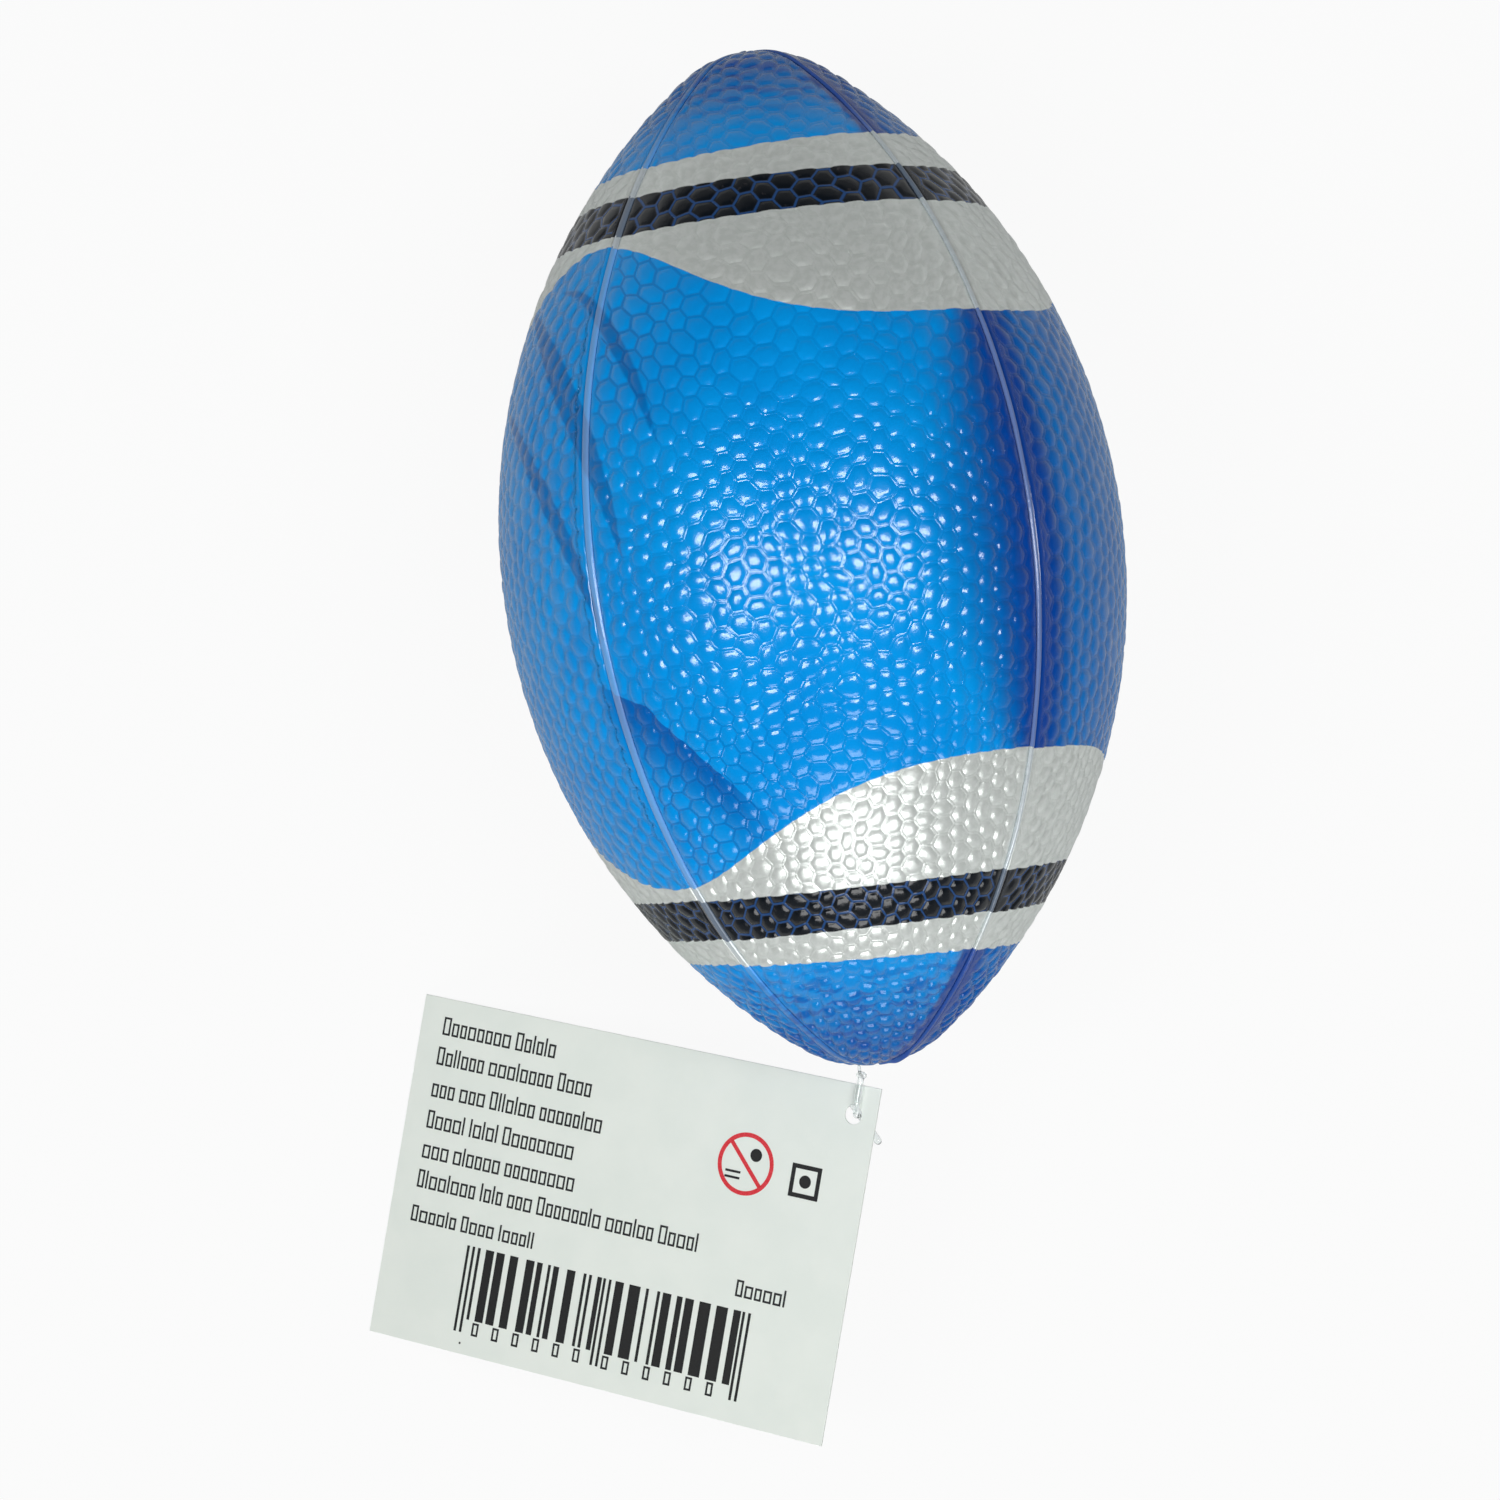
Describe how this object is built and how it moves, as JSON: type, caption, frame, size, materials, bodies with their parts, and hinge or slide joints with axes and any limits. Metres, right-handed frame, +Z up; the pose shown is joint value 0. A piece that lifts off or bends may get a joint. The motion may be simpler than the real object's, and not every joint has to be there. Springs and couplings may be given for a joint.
{
  "type": "rugby ball",
  "caption": "Small soft foam rugby ball with an embossed, printed film cover in four panels, raised seam beads, and a card swing tag hung from one tip on a clear plastic pin.",
  "frame": {"origin": "centre of the ball, midway between its two tips on its long axis", "axes": "+Y along the ball's long axis, away from the tip that holds the tag; +Z up from the surface that the ball lies on"},
  "size_m": [0.1441, 0.2294, 0.1014],
  "materials": {
    "foam": "matte",
    "printed_film": "gloss",
    "seam_film": "gloss",
    "clear_plastic": "gloss",
    "tag_board": "satin"
  },
  "bodies": {
    "ball": {"foam_core": "foam", "panel_top": "printed_film", "panel_left": "printed_film", "panel_bottom": "printed_film", "panel_right": "printed_film", "seam_bead_upper_right": "seam_film", "seam_bead_upper_left": "seam_film", "seam_bead_lower_left": "seam_film", "seam_bead_lower_right": "seam_film", "pin_anchor": "clear_plastic"},
    "filament": {"pin_filament": "clear_plastic"},
    "neck": {"pin_neck": "clear_plastic"},
    "card": {"tag_card": "tag_board"}
  },
  "joints": [
    {"name": "filament_swing", "type": "hinge", "parent": "ball", "child": "filament", "pos_m": [-0.003, -0.08336, 0], "axis": [0, 1, 0], "range_deg": [-60, 60]},
    {"name": "neck_fold", "type": "hinge", "parent": "filament", "child": "neck", "pos_m": [-0.00262, -0.08564, -0.0096], "axis": [0.9568, -0.2907, 0], "range_deg": [-25, 45]},
    {"name": "card_turn", "type": "hinge", "parent": "neck", "child": "card", "pos_m": [-0.00411, -0.09229, -0.01058], "axis": [-0.4427, 0.1345, 0.8865], "range_deg": [-8, 100]}
  ]
}
